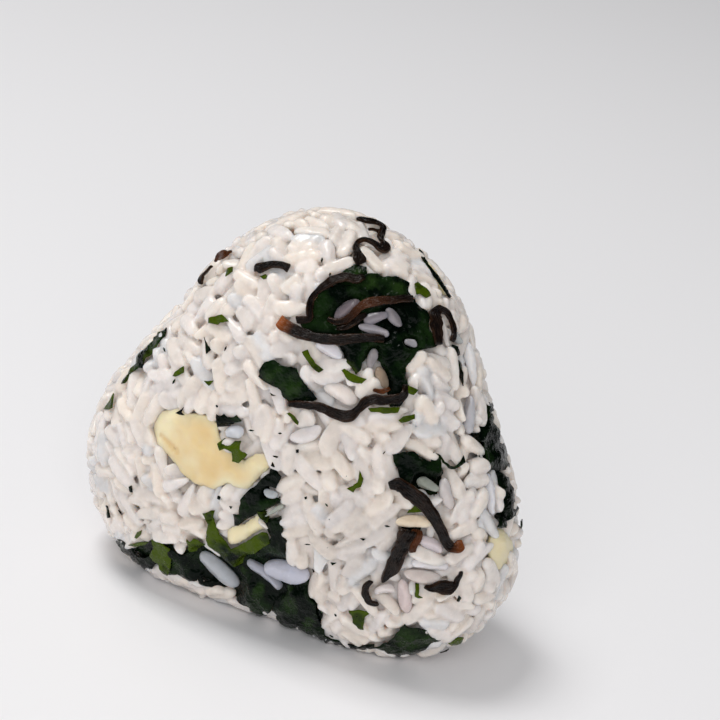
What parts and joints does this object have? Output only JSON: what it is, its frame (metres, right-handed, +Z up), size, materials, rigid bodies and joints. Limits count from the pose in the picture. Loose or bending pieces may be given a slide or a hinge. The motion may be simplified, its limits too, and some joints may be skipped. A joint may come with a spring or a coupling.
{
  "type": "onigiri rice ball",
  "caption": "Triangular pressed rice ball with strips of kombu, leaves of wakame and soft cheese mixed through the grains.",
  "frame": {"origin": "middle of the flat base that the rice ball stands on", "axes": "+Z up through the rounded top corner, +X to the right of the front face, +Y from the front face to the back"},
  "size_m": [0.0806, 0.0436, 0.0713],
  "materials": {
    "rice": "moist cooked rice",
    "kombu": "moist simmered kelp",
    "wakame": "wet dark seaweed leaf",
    "olive_wakame": "wet thin olive seaweed leaf",
    "cheese": "soft cheese"
  },
  "bodies": {
    "root": {"rice": "rice", "kombu_1": "kombu", "kombu_2": "kombu", "kombu_3": "kombu", "kombu_4": "kombu", "kombu_5": "kombu", "kombu_6": "kombu", "kombu_7": "kombu", "kombu_8": "kombu", "kombu_9": "kombu", "kombu_10": "kombu", "kombu_11": "kombu", "kombu_12": "kombu", "kombu_13": "kombu", "kombu_14": "kombu", "kombu_15": "kombu", "kombu_16": "kombu", "wakame_1": "wakame", "wakame_2": "wakame", "wakame_3": "wakame", "wakame_4": "wakame", "wakame_5": "olive_wakame", "wakame_6": "wakame", "wakame_7": "olive_wakame", "wakame_8": "wakame", "wakame_9": "wakame", "wakame_10": "wakame", "wakame_11": "wakame", "wakame_12": "wakame", "wakame_13": "wakame", "wakame_14": "olive_wakame", "wakame_15": "olive_wakame", "wakame_16": "wakame", "wakame_17": "wakame", "wakame_18": "olive_wakame", "wakame_19": "wakame", "wakame_20": "olive_wakame", "wakame_21": "olive_wakame", "wakame_22": "wakame", "wakame_23": "wakame", "wakame_24": "wakame", "wakame_25": "wakame", "wakame_26": "wakame", "wakame_27": "olive_wakame", "wakame_28": "wakame", "wakame_29": "wakame", "wakame_30": "olive_wakame", "wakame_31": "wakame", "wakame_32": "olive_wakame", "cheese_1": "cheese", "cheese_2": "cheese", "cheese_3": "cheese", "cheese_4": "cheese", "cheese_5": "cheese"}
  },
  "joints": []
}
